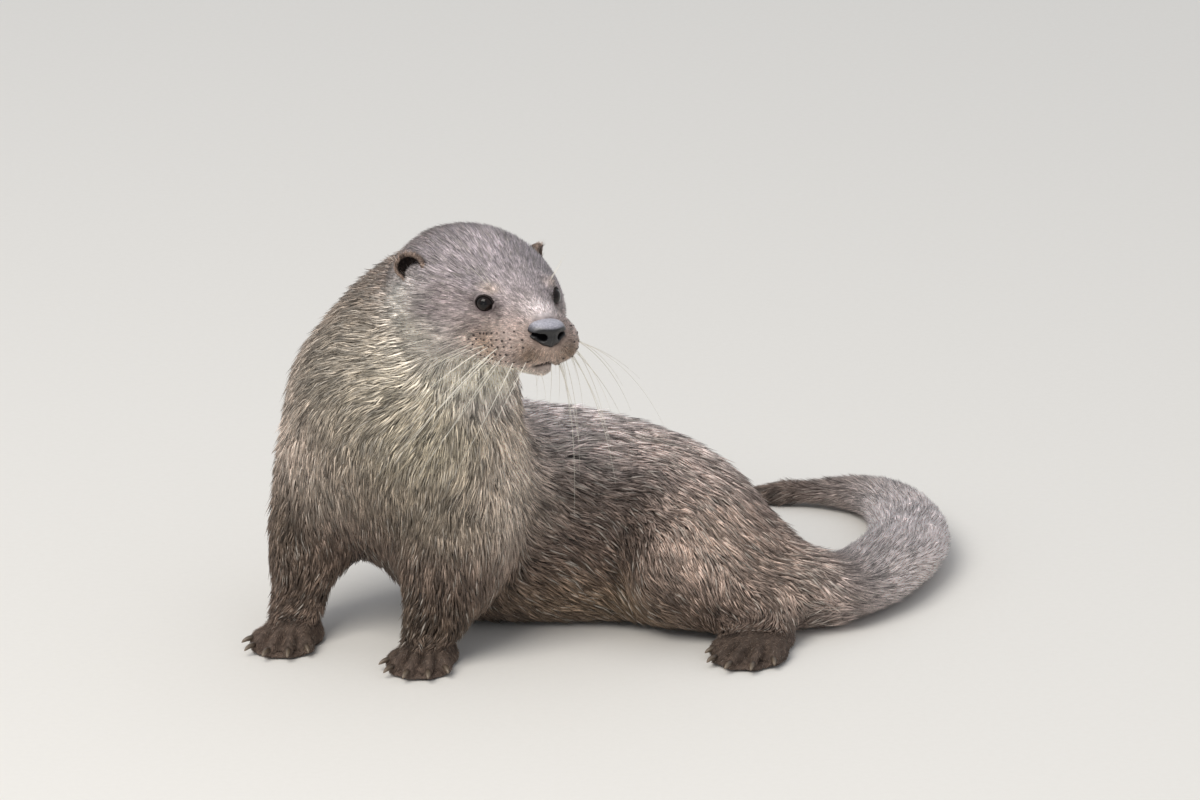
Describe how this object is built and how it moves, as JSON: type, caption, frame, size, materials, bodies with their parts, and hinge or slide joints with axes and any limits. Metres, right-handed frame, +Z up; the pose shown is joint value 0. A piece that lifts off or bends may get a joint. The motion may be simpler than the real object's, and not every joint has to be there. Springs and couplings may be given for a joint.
{
  "type": "eurasian otter",
  "caption": "Life-size still model of a Eurasian otter resting on its belly, forequarters raised, head turned to its left, tail curled round behind.",
  "frame": {"origin": "on the floor, under the middle of the model's box", "axes": "+Z up; the chest faces between -X and -Y, the rump lies towards +X, and the tail curls round towards +Y"},
  "size_m": [0.423, 0.3652, 0.2587],
  "materials": {
    "body_coat": "brown fur coat, guard hairs in locks",
    "head_coat": "short grey-brown fur that lies flat",
    "throat_coat": "pale cream-grey fur",
    "tail_coat": "short sleek brown fur",
    "foot_skin": "thinly furred skin over toes, web and pads",
    "ear_skin": "furred skin, matt",
    "nose_skin": "bare pebbled skin, damp",
    "eye_surface": "wet and glossy",
    "claw_horn": "smooth horn"
  },
  "bodies": {
    "root": {"head": "head_coat", "jaw": "throat_coat", "nose": "nose_skin", "neck": "throat_coat", "chest": "body_coat", "belly": "body_coat", "hips": "body_coat", "ear_left": "ear_skin", "eye_left": "eye_surface", "ear_right": "ear_skin", "eye_right": "eye_surface", "foreleg_left": "body_coat", "foreleg_left_foot": "foot_skin", "foreleg_left_claw_1": "claw_horn", "foreleg_left_claw_2": "claw_horn", "foreleg_left_claw_3": "claw_horn", "foreleg_left_claw_4": "claw_horn", "foreleg_left_claw_5": "claw_horn", "foreleg_right": "body_coat", "foreleg_right_foot": "foot_skin", "foreleg_right_claw_1": "claw_horn", "foreleg_right_claw_2": "claw_horn", "foreleg_right_claw_3": "claw_horn", "foreleg_right_claw_4": "claw_horn", "foreleg_right_claw_5": "claw_horn", "hindleg_left": "body_coat", "hindleg_left_foot": "foot_skin", "hindleg_left_claw_1": "claw_horn", "hindleg_left_claw_2": "claw_horn", "hindleg_left_claw_3": "claw_horn", "hindleg_left_claw_4": "claw_horn", "hindleg_left_claw_5": "claw_horn", "hindleg_right": "body_coat", "hindleg_right_foot": "foot_skin", "hindleg_right_claw_1": "claw_horn", "hindleg_right_claw_2": "claw_horn", "hindleg_right_claw_3": "claw_horn", "hindleg_right_claw_4": "claw_horn", "hindleg_right_claw_5": "claw_horn", "tail_1": "tail_coat", "tail_2": "tail_coat", "tail_3": "tail_coat", "tail_4": "tail_coat", "tail_5": "tail_coat"}
  },
  "joints": []
}
